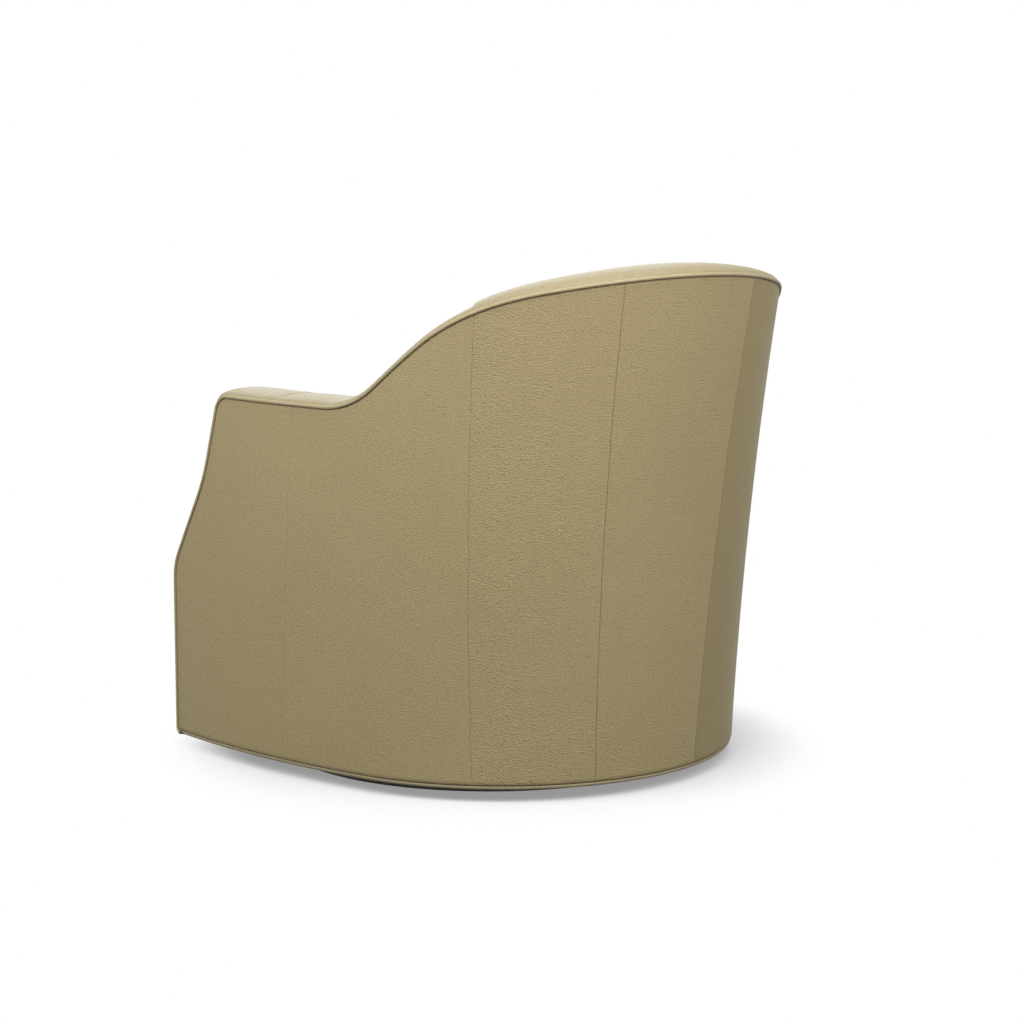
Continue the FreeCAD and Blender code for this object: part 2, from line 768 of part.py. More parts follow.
# Turning base: a round board on glides, with a ball-bearing swivel on top
base_top = glide_height + base_thickness
swivel_top = bottom_top
lower_top = base_top + plate
upper_bottom = swivel_top - plate
ball_z = (lower_top + upper_bottom) / 2
axis = Vector(0, 0, 1)


def square_plate(size, z):
    return Part.makeBox(size, size, plate, Vector(-size / 2, -size / 2, z))


def race(z_low, z_high):
    """A raised ring on a plate, with half of the ball track cut into it."""
    height = z_high - z_low
    outer = Part.makeCylinder(race_radius + race_width / 2, height, Vector(0, 0, z_low))
    inner = Part.makeCylinder(race_radius - race_width / 2, height, Vector(0, 0, z_low))
    return outer.cut(inner)


def plate_screws(size, z_head, downward, length):
    """Pan-head screws near the corners of a plate."""
    reach = size / 2 - plate_screw_inset
    turn = -1 if downward else 1
    screws = []
    for x in (-reach, reach):
        for y in (-reach, reach):
            seat = Vector(x, y, z_head)
            head = Part.makeCylinder(plate_screw_head_radius, plate_screw_head, seat, axis * -turn)
            shank = Part.makeCylinder(plate_screw_radius, length, seat, axis * turn)
            screws.append(head.fuse(shank).removeSplitter())
    return screws


track = Part.makeTorus(race_radius, ball_radius + ball_clearance, Vector(0, 0, ball_z))
lower_screws = plate_screws(lower_plate_size, lower_top, True, lower_screw_length)
upper_screws = plate_screws(upper_plate_size, upper_bottom, False, upper_screw_length)
pivot_top = swivel_top + washer_gap + washer_thickness + nut_height
pivot = Part.makeCylinder(pivot_radius, pivot_top - base_top, Vector(0, 0, base_top))
pivot_head = Part.makeCylinder(pivot_head_radius, pivot_head_height,
                               Vector(0, 0, base_top - pivot_head_height))
pivot = pivot.fuse(pivot_head).removeSplitter()

lower_plate = square_plate(lower_plate_size, base_top).fuse(race(lower_top, ball_z - race_gap / 2))
lower_plate = lower_plate.cut(track).cut(pivot).cut(Part.makeCompound(lower_screws)).removeSplitter()
save("swivel_lower_plate", lower_plate)
save("swivel_lower_screws", *lower_screws)

pivot_hole = Part.makeCylinder(pivot_radius + pivot_clearance, far, Vector(0, 0, 0))
upper_plate = square_plate(upper_plate_size, upper_bottom).fuse(race(ball_z + race_gap / 2, upper_bottom))
upper_plate = upper_plate.cut(track).cut(pivot_hole).cut(Part.makeCompound(upper_screws)).removeSplitter()
save("swivel_upper_plate", upper_plate)
save("swivel_upper_screws", *upper_screws)
save("swivel_pivot", pivot)

washer_z = swivel_top + washer_gap
washer = Part.makeCylinder(pivot_head_radius, washer_thickness, Vector(0, 0, washer_z))
save("pivot_washer", washer.cut(pivot))
nut_corners = []
for i in range(7):
    angle = math.radians(60.0 * i)
    nut_corners.append(Vector(nut_radius * math.cos(angle), nut_radius * math.sin(angle),
                              washer_z + washer_thickness))
nut = Part.Face(Part.makePolygon(nut_corners)).extrude(Vector(0, 0, nut_height))
save("pivot_nut", nut.cut(pivot))

balls = []
cage_low = Vector(0, 0, ball_z - cage_thickness / 2)
cage = Part.makeCylinder(race_radius + cage_width / 2, cage_thickness, cage_low)
cage = cage.cut(Part.makeCylinder(race_radius - cage_width / 2, far, Vector(0, 0, 0)))
for i in range(ball_count):
    angle = math.radians(360.0 * i / ball_count)
    centre = Vector(race_radius * math.cos(angle), race_radius * math.sin(angle), ball_z)
    balls.append(Part.makeSphere(ball_radius, centre))
    pocket = Part.makeCylinder(ball_radius + ball_clearance, far, Vector(centre.x, centre.y, 0))
    cage = cage.cut(pocket)
save("bearing_balls", *balls)
save("ball_cage", cage)

base = Part.makeCylinder(base_radius, base_thickness, Vector(0, 0, glide_height))
rims = [edge for edge in base.Edges if edge.Curve.TypeId == "Part::GeomCircle"]
base = base.makeFillet(base_edge_radius, rims)
base = base.cut(pivot).cut(Part.makeCompound(lower_screws))
save("base_disc", base)
glides = []
for i in range(glide_count):
    angle = math.radians(360.0 * (i + 0.5) / glide_count)
    place = Vector(glide_circle * math.cos(angle), glide_circle * math.sin(angle), 0)
    glides.append(Part.makeCylinder(glide_radius, glide_height, place))
save("base_glides", *glides)

# Board that carries the swivel, across the bottom former
board_low = swivel_top
outline = plan_edges(-front_station, front_station, frame_out, board_low)
outline.append(Part.makeLine(plan_point(front_station, frame_out, board_low),
                             plan_point(-front_station, frame_out, board_low)))
swivel_board = Part.Face(Part.Wire(outline)).extrude(Vector(0, 0, board))
reach_box = Part.makeBox(far, 2 * swivel_board_reach, far, Vector(-far / 2, -swivel_board_reach, 0))
nut_space = Part.makeCylinder(pivot_head_radius + race_gap, far, Vector(0, 0, 0))
swivel_board = swivel_board.common(reach_box).cut(nut_space).cut(Part.makeCompound(upper_screws))
lower_arm_post = arm_post[0]
for blocker in (front_post, mirrored(front_post), lower_arm_post, mirrored(lower_arm_post)):
    swivel_board = swivel_board.cut(blocker)
save("swivel_board", swivel_board)
save("bottom_former", bottom_former)

# Black cloth under the body, open round the swivel
cloth_line = plan_edges(-welt_end, welt_end, frame_out, body_bottom - dust_cover)
cloth_line.append(Part.makeLine(plan_point(welt_end, frame_out, body_bottom - dust_cover),
                                plan_point(-welt_end, frame_out, body_bottom - dust_cover)))
cloth = Part.Face(Part.Wire(cloth_line)).extrude(Vector(0, 0, dust_cover))
cloth = cloth.cut(Part.makeCylinder(dust_cover_hole, far, Vector(0, 0, 0)))
save("dust_cover", cloth)
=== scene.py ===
import json
import math

import bmesh
import bpy
import numpy as np
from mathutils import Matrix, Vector

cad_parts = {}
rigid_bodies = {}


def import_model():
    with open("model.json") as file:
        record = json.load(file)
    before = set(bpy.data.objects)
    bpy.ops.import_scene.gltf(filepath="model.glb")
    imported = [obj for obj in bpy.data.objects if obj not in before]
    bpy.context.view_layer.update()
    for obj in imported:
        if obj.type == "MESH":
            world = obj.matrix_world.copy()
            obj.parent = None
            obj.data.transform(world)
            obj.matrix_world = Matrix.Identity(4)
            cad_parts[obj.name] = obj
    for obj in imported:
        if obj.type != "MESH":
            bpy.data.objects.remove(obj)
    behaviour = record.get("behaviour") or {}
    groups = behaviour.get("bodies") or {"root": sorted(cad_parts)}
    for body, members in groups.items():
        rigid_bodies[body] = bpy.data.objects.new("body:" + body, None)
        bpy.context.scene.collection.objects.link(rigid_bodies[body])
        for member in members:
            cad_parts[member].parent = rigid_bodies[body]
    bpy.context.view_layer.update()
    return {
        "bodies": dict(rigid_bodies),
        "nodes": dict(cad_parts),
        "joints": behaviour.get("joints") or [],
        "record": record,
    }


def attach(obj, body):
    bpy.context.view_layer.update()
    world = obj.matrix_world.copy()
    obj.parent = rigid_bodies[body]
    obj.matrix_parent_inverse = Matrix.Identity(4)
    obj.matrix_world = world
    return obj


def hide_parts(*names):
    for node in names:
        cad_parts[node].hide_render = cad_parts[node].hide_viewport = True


# A barrel-shaped leather swivel chair, dressed over its solid parts.
# Metres; the origin is on the floor on the turning axis, the front faces -Y, left is the sitter's left (+X).
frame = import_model()
scene = bpy.context.scene
scene.view_settings.view_transform = "Standard"


# The photographer's place: a long lens behind the chair and on the sitter's left, a little above the arms.
lens = bpy.data.cameras.new("camera")
lens.lens = 91.4
lens.sensor_width = 36.0
camera = bpy.data.objects.new("camera", lens)
camera.location = (2.4477, 3.2619, 0.9603)
camera.rotation_euler = (math.radians(81.823), 0.0, math.radians(142.642))
scene.collection.objects.link(camera)
scene.camera = camera


# Materials are written as sums of sockets. Wire is one output of a node: a sum with it adds the node that
# works it out, and its node method adds any other kind.
class Wire:
    def __init__(self, tree, socket):
        self.tree = tree
        self.socket = socket

    def node(self, kind, settings, inputs, output=0):
        made = self.tree.nodes.new("ShaderNode" + kind)
        for name, value in settings.items():
            setattr(made, name, value)
        for name, value in inputs.items():
            if isinstance(value, Wire):
                self.tree.links.new(value.socket, made.inputs[name])
            else:
                made.inputs[name].default_value = value
        return Wire(self.tree, made.outputs[output])

    def math(self, operation, first, second=0.0):
        return self.node("Math", {"operation": operation}, {0: first, 1: second})

    def __add__(self, other):
        return self.math("ADD", self, other)

    def __radd__(self, other):
        return self.math("ADD", other, self)

    def __sub__(self, other):
        return self.math("SUBTRACT", self, other)

    def __rsub__(self, other):
        return self.math("SUBTRACT", other, self)

    def __mul__(self, other):
        return self.math("MULTIPLY", self, other)

    def __rmul__(self, other):
        return self.math("MULTIPLY", other, self)

    def fade(self, low, high):
        """1 below low, 0 above high, smooth between."""
        return self.node("MapRange", {"interpolation_type": "SMOOTHSTEP"},
                         {"Value": self, "From Min": low, "From Max": high, "To Min": 1.0, "To Max": 0.0})

    def tint(self, first, second):
        """The first colour where this is 0 and the second where it is 1."""
        return self.node("Mix", {"data_type": "RGBA"}, {0: self, 6: first, 7: second}, 2)

    def feed(self, shader, name):
        self.tree.links.new(self.socket, shader.inputs[name])


def new_finish(name, roughness, metallic=0.0):
    """An empty material, its shader and the place on the piece."""
    material = bpy.data.materials.new(name)
    material.use_nodes = True
    tree = material.node_tree
    shader = tree.nodes["Principled BSDF"]
    shader.inputs["Roughness"].default_value = roughness
    shader.inputs["Metallic"].default_value = metallic
    place = Wire(tree, tree.nodes.new("ShaderNodeTexCoord").outputs["Object"])
    return material, shader, place


def colour(red, green, blue):
    """A colour as it reads on a screen, 0 to 255, as the linear colour a material takes."""
    return tuple(((part / 255 + 0.055) / 1.055) ** 2.4 for part in (red, green, blue)) + (1.0,)


# The studio: a white floor that keeps the chair's shadow, a white surround and a soft light all round.
# Wide lamps hang over the back, on the sitter's left, behind and in front.
floor_mesh = bmesh.new()
bmesh.ops.create_grid(floor_mesh, x_segments=1, y_segments=1, size=30.0)
floor_data = bpy.data.meshes.new("floor")
floor_mesh.to_mesh(floor_data)
floor = bpy.data.objects.new("floor", floor_data)
scene.collection.objects.link(floor)


def seen_rays(wire):
    """1 for the rays that look at a thing, straight, in a reflection or through glass, 0 for its light."""
    camera_ray = wire.node("LightPath", {}, {}, "Is Camera Ray")
    glossy_ray = wire.node("LightPath", {}, {}, "Is Glossy Ray")
    clear_ray = wire.node("LightPath", {}, {}, "Is Transmission Ray")
    return wire.math("MAXIMUM", camera_ray, wire.math("MAXIMUM", glossy_ray, clear_ray))


white = (1.0, 1.0, 1.0, 1.0)
floor_finish, floor_shader, floor_place = new_finish("floor_white", 0.9)
floor_shader.inputs["Specular IOR Level"].default_value = 0.0
floor_distance = floor_place.node("VectorMath", {"operation": "LENGTH"}, {0: floor_place}, 1)
floor_seen = seen_rays(floor_place)
floor_seen.tint((0.06, 0.06, 0.06, 1.0), (0.46, 0.46, 0.467, 1.0)).feed(floor_shader, "Base Color")
floor_far = 1.0 - floor_distance.fade(0.38, 0.54)
floor_glow = floor_seen.node("Emission", {}, {"Color": white, "Strength": 1.0})
floor_lit = Wire(floor_finish.node_tree, floor_shader.outputs[0])
floor_lift = floor_seen.node("Emission", {}, {"Color": white, "Strength": 0.30 * floor_seen})
floor_near = floor_seen.node("AddShader", {}, {0: floor_lit, 1: floor_lift})
floor_mixed = floor_seen.node("MixShader", {}, {0: floor_seen * floor_far, 1: floor_near, 2: floor_glow})
floor_mixed.feed(floor_finish.node_tree.nodes["Material Output"], "Surface")
floor_data.materials.append(floor_finish)

surround = bpy.data.worlds.new("surround")
surround.use_nodes = True
scene.world = surround
background = surround.node_tree.nodes["Background"]
background.inputs["Color"].default_value = white
sky_seen = seen_rays(Wire(surround.node_tree, background.outputs[0]))
(0.20 + 0.80 * sky_seen).feed(background, "Strength")


def soft_lamp(name, place, target, size, power):
    lamp = bpy.data.lights.new(name, "AREA")
    lamp.shape = "SQUARE"
    lamp.size = size
    lamp.energy = power
    holder = bpy.data.objects.new(name, lamp)
    holder.location = place
    holder.rotation_euler = (Vector(target) - Vector(place)).to_track_quat("-Z", "Y").to_euler()
    scene.collection.objects.link(holder)


soft_lamp("overhead", (0.9, 1.5, 2.2), (0.1, 0.3, 0.4), 2.0, 70.0)
soft_lamp("left_side", (2.0, -0.3, 1.5), (0.2, 0.0, 0.6), 1.2, 24.0)
soft_lamp("behind", (-0.5, 2.2, 1.5), (0.0, 0.3, 0.6), 1.2, 22.0)
soft_lamp("front", (-1.4, -2.4, 1.7), (0.0, 0.0, 0.4), 2.0, 22.0)


# The barrel wall: a round back that runs tangent into two nearly straight arms and leans back along a large
# arc. A station is the distance along the outside of the wall from the middle of the back, left is positive.
back_radius = 0.362
back_centre_y = 0.033
back_half_angle = math.radians(72.8)
arm_radius = 1.4
body_bottom = 0.020
body_height = 0.750
lean_low = math.sin(math.radians(3.8))
lean_radius = body_height / (math.sin(math.radians(12.0)) - lean_low)
arm_sweep = math.pi / 2 - back_half_angle
back_arc = back_radius * back_half_angle
arm_arc = arm_radius * arm_sweep
arm_centre_x = (back_radius - arm_radius) * math.sin(back_half_angle)
arm_centre_y = back_centre_y + (back_radius - arm_radius) * math.cos(back_half_angle)
half_width = arm_centre_x + arm_radius
wall = 0.100
front_y = -0.288


def lean_shift(z):
    """How far the wall has moved back at a height."""
    angle = math.asin(lean_low + (z - body_bottom) / lean_radius)
    return lean_radius * (math.sqrt(1.0 - lean_low ** 2) - math.cos(angle))


def wall_point(station, inset, z):
    """The point at a station and a height, a distance in from the outside of the wall."""
    side = math.copysign(1.0, station)
    run = abs(station)
    shift = lean_shift(z)
    if run <= back_arc:
        angle = run / back_radius
        radius = back_radius - inset
        return Vector((side * radius * math.sin(angle), back_centre_y + radius * math.cos(angle) + shift, z))
    if run <= back_arc + arm_arc:
        angle = arm_sweep - (run - back_arc) / arm_radius
        radius = arm_radius - inset
        x = arm_centre_x + radius * math.cos(angle)
        return Vector((side * x, arm_centre_y + radius * math.sin(angle) + shift, z))
    return Vector((side * (half_width - inset), arm_centre_y - (run - back_arc - arm_arc) + shift, z))


def rounded_line(points, radii, steps=12):
    """A line through points in the side view (y, z) with its corners rounded."""
    line = [Vector(points[0])]
    for before, corner, after, radius in zip(points, points[1:], points[2:], radii):
        into = (Vector(corner) - Vector(before)).normalized()
        out = (Vector(after) - Vector(corner)).normalized()
        turn = into.angle(out)
        run = radius * math.tan(turn / 2)
        start = Vector(corner) - into * run
        side = (out - into * into.dot(out)).normalized()
        centre = start + side * radius
        for step in range(steps + 1):
            angle = turn * step / steps
            line.append(centre - side * radius * math.cos(angle) + into * radius * math.sin(angle))
    line.append(Vector(points[-1]))
    return line


# The side view: level arms that sweep up to the back, and arm fronts that slant back above the knee.
rail_z = 0.572
rise_y = 0.145
knee_z = 0.294
bend_z = 0.439
back_z = 0.770
back_y = back_centre_y + back_radius + lean_shift(back_z)
rise = math.tan(math.radians(38.8))
gentle = math.tan(math.radians(15.5))
crest_y = ((back_z - back_y * gentle) - (rail_z - rise_y * rise)) / (rise - gentle)
crest_z = rail_z + (crest_y - rise_y) * rise
bend_y = front_y + (bend_z - knee_z) * math.tan(math.radians(32.8))
corner_y = bend_y + (rail_z - bend_z) * math.tan(math.radians(18.9))
past_back = 0.05
rail_line = rounded_line([(-0.1, rail_z), (rise_y, rail_z), (crest_y, crest_z),
                          (back_y + past_back, back_z + past_back * gentle)], [0.150, 0.430])
front_line = rounded_line([(front_y + 0.0075, 0.0225), (front_y, 0.0245), (front_y, knee_z), (bend_y, bend_z),
                           (corner_y, rail_z), (corner_y + 0.06, rail_z)], [0.008, 0.080, 0.300, 0.032])[:-1]


def level_of_rail(station):
    """Height of the top edge of the wall, where its surface meets the line of the side view."""
    along = [spot.x for spot in rail_line]
    height = [spot.y for spot in rail_line]
    z = rail_z
    for guess in range(25):
        z = float(np.interp(wall_point(station, 0.0, z).y, along, height))
    return z


rail_stations = [0.005 * step for step in range(160)]
rail_levels = [level_of_rail(station) for station in rail_stations]


def rail_level(station):
    return float(np.interp(abs(station), rail_stations, rail_levels))


def front_station(z):
    """The station of the arm's front edge at a height."""
    y = float(np.interp(z, [spot.y for spot in front_line], [spot.x for spot in front_line])) - lean_shift(z)
    if y < arm_centre_y:
        return back_arc + arm_arc + arm_centre_y - y
    return back_arc + arm_radius * (arm_sweep - math.asin((y - arm_centre_y) / arm_radius))


def inward_at(point):
    """The level direction from the outside of the wall to the inside."""
    y = point.y - lean_shift(point.z)
    side = math.copysign(1.0, point.x)
    if y > back_centre_y + back_radius * math.cos(back_half_angle):
        return Vector((-point.x, back_centre_y - y, 0.0)).normalized()
    if y > arm_centre_y:
        angle = math.asin(min(1.0, (y - arm_centre_y) / arm_radius))
        return Vector((-side * math.cos(angle), -math.sin(angle), 0.0))
    return Vector((-side, 0.0, 0.0))


# The leather: full-grain hide with a fine pebbled grain of small irregular cells and a soft sheen.
# Its colour holds painted light: a painted highlight on the crests of the grain and painted shade in its
# creases, mixed with a random mottle, and painted shade along the seams and welts.
def leather(name, tone, cell, depth, place_name=None, seam_shade_strength=0.4, waves=0.06, gloss=0.22):
    material, shader, place = new_finish(name, 0.5)
    hide = place
    if place_name:
        flat = place.node("Attribute", {"attribute_name": place_name}, {}, "Vector")
        hide = place.node("Mapping", {}, {"Vector": flat, "Rotation": (0.0, 0.0, math.radians(28.0)),
                                          "Scale": (0.75, 1.3, 1.0)})
    warp = place.node("TexNoise", {}, {"Vector": hide, "Scale": 0.4 / cell, "Detail": 2.0}, 1)
    bent = place.node("VectorMath", {"operation": "MULTIPLY_ADD"}, {0: warp, 1: (cell * 0.7,) * 3, 2: hide})
    grain = place.node("TexVoronoi", {"feature": "SMOOTH_F1"},
                       {"Vector": bent, "Scale": 1.0 / cell, "Smoothness": 0.25, "Randomness": 1.0})
    fine = place.node("TexNoise", {}, {"Vector": bent, "Scale": 2.4 / cell, "Detail": 2.0})
    folds = place.node("TexNoise", {}, {"Vector": place, "Scale": 60.0, "Detail": 2.0, "Distortion": 1.4})
    patches = place.node("TexNoise", {}, {"Vector": place, "Scale": 22.0, "Detail": 2.0})
    cloud = place.node("TexNoise", {}, {"Vector": place, "Scale": 5.5, "Detail": 3.0, "Roughness": 0.55})
    line = place.node("Attribute", {"attribute_name": "painted_seam_shade"}, {}, "Fac")
    crest = 1.0 - grain * 1.35
    relief = crest * (0.5 + patches * 0.7) + fine * 0.25 + folds * waves
    bump = place.node("Bump", {}, {"Height": relief, "Strength": 1.0, "Distance": depth})
    bump.feed(shader, "Normal")
    # Painted highlight and shade: the hide is paler on the grain's crests and darker in its creases, mixed
    # with a random mottle from the cloud noise.
    light = tuple(min(1.0, part * 1.13) for part in tone[:3]) + (1.0,)
    dark = tuple(part * 0.80 for part in tone[:3]) + (1.0,)
    crest_shade_and_mottle = crest * 0.6 + cloud * 0.4
    hide_with_crest_shade = crest_shade_and_mottle.tint(dark, light)
    # The seam attribute mixes the hide towards dark brown: painted shade in the seam grooves and at the
    # welts.
    (line * seam_shade_strength).tint(hide_with_crest_shade, colour(78, 60, 34)).feed(shader, "Base Color")
    (0.40 + 0.12 * cloud + 0.06 * fine + line * 0.2).feed(shader, "Roughness")
    shader.inputs["Specular IOR Level"].default_value = gloss
    return material


hide_tone = colour(163, 148, 109)
back_leather = leather("back_leather", hide_tone, 0.0024, 0.00052, "hide_place", 0.6)
# The sitter's right back panel turns away from the lamps and gets a darker copy of the hide: painted shade.
shaded_side_leather = leather("shaded_side_leather", colour(153, 138, 98), 0.0024, 0.00046, "hide_place", 0.6, 0.06, 0.12)
arm_leather = leather("arm_leather", hide_tone, 0.0020, 0.00034, "hide_place", 0.6)
# The roll's hide is a darker, greyer copy of the panels' hide, which offsets the overhead light on its top:
# painted shade.
shaded_roll_leather = leather("shaded_roll_leather", colour(149, 138, 107), 0.0027, 0.00035, None, 0.0, 0.0, 0.25)
welt_leather = leather("welt_leather", colour(160, 147, 113), 0.0022, 0.00025, None, 0.85, 0.0, 0.35)


# Shaping: every sewn piece starts as a flat grid, like a cut piece of hide.
# Each of its points is then moved to its place on the chair.
def shaped_grid(columns, rows, place):
    mesh = bmesh.new()
    bmesh.ops.create_grid(mesh, x_segments=columns, y_segments=rows, size=0.5)
    for point in mesh.verts:
        point.co = place(point.co.x + 0.5, point.co.y + 0.5)
    return mesh


def shaped_shell(columns, rows, place):
    """A closed pad: its outer face at layer 0 and its inner face at layer 1, joined round the edge."""
    mesh = bmesh.new()
    bmesh.ops.create_grid(mesh, x_segments=columns, y_segments=rows, size=0.5)
    inner = list(mesh.verts)
    made = bmesh.ops.extrude_face_region(mesh, geom=list(mesh.faces))["geom"]
    for point in [part for part in made if isinstance(part, bmesh.types.BMVert)]:
        point.co = place(point.co.x + 0.5, point.co.y + 0.5, 0)
    for point in inner:
        point.co = place(point.co.x + 0.5, point.co.y + 0.5, 1)
    return mesh


def finished(name, mesh, material, body, sharp=50.0):
    """The piece as an object that rides on a body."""
    bmesh.ops.recalc_face_normals(mesh, faces=list(mesh.faces))
    data = bpy.data.meshes.new(name)
    mesh.to_mesh(data)
    mesh.free()
    for face in data.polygons:
        face.use_smooth = True
    data.set_sharp_from_angle(angle=math.radians(sharp))
    data.materials.append(material)
    piece = bpy.data.objects.new(name, data)
    scene.collection.objects.link(piece)
    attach(piece, body)
    return piece


def eased(share):
    """Even shares drawn towards both ends, so that a grid is finest along the seams."""
    return 0.5 - 0.5 * math.cos(math.pi * share)


def shoulder(distance, depth, reach):
    """How far a taut cover drops towards a seam."""
    away = min(1.0, max(0.0, distance / reach))
    return depth * (1.0 - math.sqrt(1.0 - (1.0 - away) ** 2))


# Outside cover: seven leather panels over thin wadding, three across the back and two on each arm.
# Each is pulled tight over the bent boards and sewn to the next with a plain closed seam.
cover = 0.010
panel_bottom = 0.0262
panel_tuck = 0.0012


def slanted(low, high, wander=0.0):
    """A seam's station at a height; sewn seams wander a little."""
    return lambda z: (low + (high - low) * (z - body_bottom) / body_height
                      + wander * (math.sin(z * 31.0 + low * 90.0) + 0.6 * math.sin(z * 83.0)))


centre_seam = slanted(0.097, 0.125, 0.0003)
side_seam = slanted(0.281, 0.337, 0.0004)
arm_seam = slanted(0.620, 0.650, 0.0002)


def opposite(seam):
    return lambda z: -seam(z)


def station_of(point):
    """The station of a point on the wall."""
    y = point.y - lean_shift(point.z)
    if y > back_centre_y + back_radius * math.cos(back_half_angle):
        station = back_radius * math.atan2(abs(point.x), y - back_centre_y)
    elif y > arm_centre_y:
        turn = math.atan2(y - arm_centre_y, abs(point.x) - arm_centre_x)
        station = back_arc + arm_radius * (arm_sweep - turn)
    else:
        station = back_arc + arm_arc + arm_centre_y - y
    return math.copysign(station, point.x)


def painted(distance, reach):
    """How much painted shade a cover takes near its edge, from 1 on the edge to 0 at the reach."""
    away = min(1.0, max(0.0, distance / reach))
    return 1.0 - away * away * (3.0 - 2.0 * away)


def cover_panel(name, near, far, columns, material, near_shade_depth, far_shade_depth):
    """A panel between two seams, near and far; each seam takes as much painted shade as the last two numbers
    say.
    """
    def at(across, along):
        across = eased(across)
        along = eased(along)
        z = rail_z
        for guess in range(12):
            station = near(z) + (far(z) - near(z)) * across
            z = panel_bottom + (rail_level(station) - panel_tuck - panel_bottom) * along
        side_gap = min(across, 1.0 - across) * abs(far(z) - near(z))
        end_gap = min(along, 1.0 - along) * (z - panel_bottom) / max(along, 0.001)
        return station, z, side_gap, end_gap

    def place(across, along, layer):
        station, z, side_gap, end_gap = at(across, along)
        if layer:
            return wall_point(station, cover, z)
        drop = max(shoulder(side_gap, 0.0006, 0.0035), shoulder(end_gap, 0.0024, 0.007))
        return wall_point(station, drop, z)

    mesh = shaped_shell(columns, 84, place)
    piece = finished(name, mesh, material, "chair")
    spots = []
    seam_shades = []
    for point in piece.data.vertices:
        station = station_of(point.co)
        z = point.co.z
        spots += [station, z, 0.0]
        # Painted shade: a dark line along each seam's groove, under the top welt and above the bottom welt.
        near_seam_shade = near_shade_depth * painted(abs(station - near(z)), 0.0010)
        far_seam_shade = far_shade_depth * painted(abs(station - far(z)), 0.0010)
        top_gap = rail_level(station) - z
        seam_shades.append(max(near_seam_shade, far_seam_shade, painted(top_gap, 0.0048), painted(z - panel_bottom, 0.0022)))
    piece.data.attributes.new("hide_place", "FLOAT_VECTOR", "POINT").data.foreach_set("vector", spots)
    piece.data.attributes.new("painted_seam_shade", "FLOAT", "POINT").data.foreach_set("value", seam_shades)
    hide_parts(name)
    return piece


cover_panel("back_panel_centre", opposite(centre_seam), centre_seam, 44, back_leather, 0.15, 0.8)
cover_panel("back_panel_left", centre_seam, side_seam, 40, back_leather, 0.8, 0.35)
cover_panel("back_panel_right", opposite(centre_seam), opposite(side_seam), 40, shaded_side_leather, 0.15, 0.35)
cover_panel("arm_panel_rear_left", side_seam, arm_seam, 60, arm_leather, 0.35, 0.12)
cover_panel("arm_panel_rear_right", opposite(side_seam), opposite(arm_seam), 60, arm_leather, 0.35, 0.12)
cover_panel("arm_panel_front_left", arm_seam, front_station, 44, arm_leather, 0.12, 1.0)
cover_panel("arm_panel_front_right", opposite(arm_seam), opposite(front_station), 44, arm_leather, 0.12, 1.0)


# Top roll: a padded strip between two welts, over the back and along each arm.
# The back's strip is fuller than the arms', so it stands a little proud where they meet at the side seams.
def frame_on(point, tangent):
    """A place on the wall's edge: the point, the way in and the way out of the edge."""
    inward = inward_at(point)
    return point, inward, inward.cross(tangent).normalized()


def rail_frame(station):
    point = wall_point(station, 0.0, rail_level(station))
    step = 0.0015
    before = wall_point(station - step, 0.0, rail_level(station - step))
    after = wall_point(station + step, 0.0, rail_level(station + step))
    return frame_on(point, (after - before).normalized())


def wall_at(y, z):
    """The outside point of the left arm at a place in the side view."""
    flat = y - lean_shift(z)
    if flat > arm_centre_y:
        return Vector((arm_centre_x + math.sqrt(arm_radius ** 2 - (flat - arm_centre_y) ** 2), y, z))
    return Vector((half_width, y, z))


def front_frames(count):
    """Places down the arm's front edge, from its top corner to the bottom."""
    line = [wall_at(p.x, p.y) for p in reversed(front_line)]
    lengths = [0.0]
    for first, second in zip(line, line[1:]):
        lengths.append(lengths[-1] + (second - first).length)

    def spot(distance):
        return Vector([float(np.interp(distance, lengths, [p[axis] for p in line])) for axis in range(3)])

    frames = []
    for step in range(count + 1):
        distance = lengths[-1] * step / count
        ahead = spot(min(lengths[-1], distance + 0.002))
        behind = spot(max(0.0, distance - 0.002))
        frames.append(frame_on(spot(distance), (ahead - behind).normalized()))
    return frames


def on_frame(frame, across, up):
    point, inward, lift = frame
    return point + inward * across + lift * up


def swept(frames, outline):
    """A closed form along frames; outline gives (across, up) for shares of the length and the way round."""
    count = len(frames) - 1

    def place(length, turn):
        spot = frames[round(length * count)]
        return on_frame(spot, *outline(length, turn))

    mesh = shaped_grid(count, 48, place)
    bmesh.ops.remove_doubles(mesh, verts=list(mesh.verts), dist=0.00002)
    bmesh.ops.holes_fill(mesh, edges=[edge for edge in mesh.edges if edge.is_boundary])
    return mesh


def strip_outline(crown_at, length_of_strip):
    """The roll's section: crown_at gives its height for a share of its length."""
    edge = 0.0008
    top_share = 0.72

    def outline(length, turn):
        end_gap = min(length, 1.0 - length) * length_of_strip
        crown = crown_at(length) - shoulder(end_gap, 0.0007, 0.003)
        half = wall / 2 - edge
        if turn < top_share:
            angle = math.pi * turn / top_share
            reach = math.cos(angle)
            up = crown * max(0.0, 1.0 - reach * reach) ** 0.34
            return wall / 2 - half * reach, up
        share = (turn - top_share) / (1.0 - top_share)
        return wall / 2 + half * (1.0 - 2.0 * share), -0.0004 * math.sin(math.pi * share)

    return outline


def back_crown(length):
    return 0.0152 - 0.0004 * min(1.0, 12.0 * min(length, 1.0 - length))


def arm_crown(length):
    """A little thinner than the back's strip, with a dip where the arm's two hides are joined."""
    return 0.0112 - shoulder(abs(length - 0.74), 0.0026, 0.05)


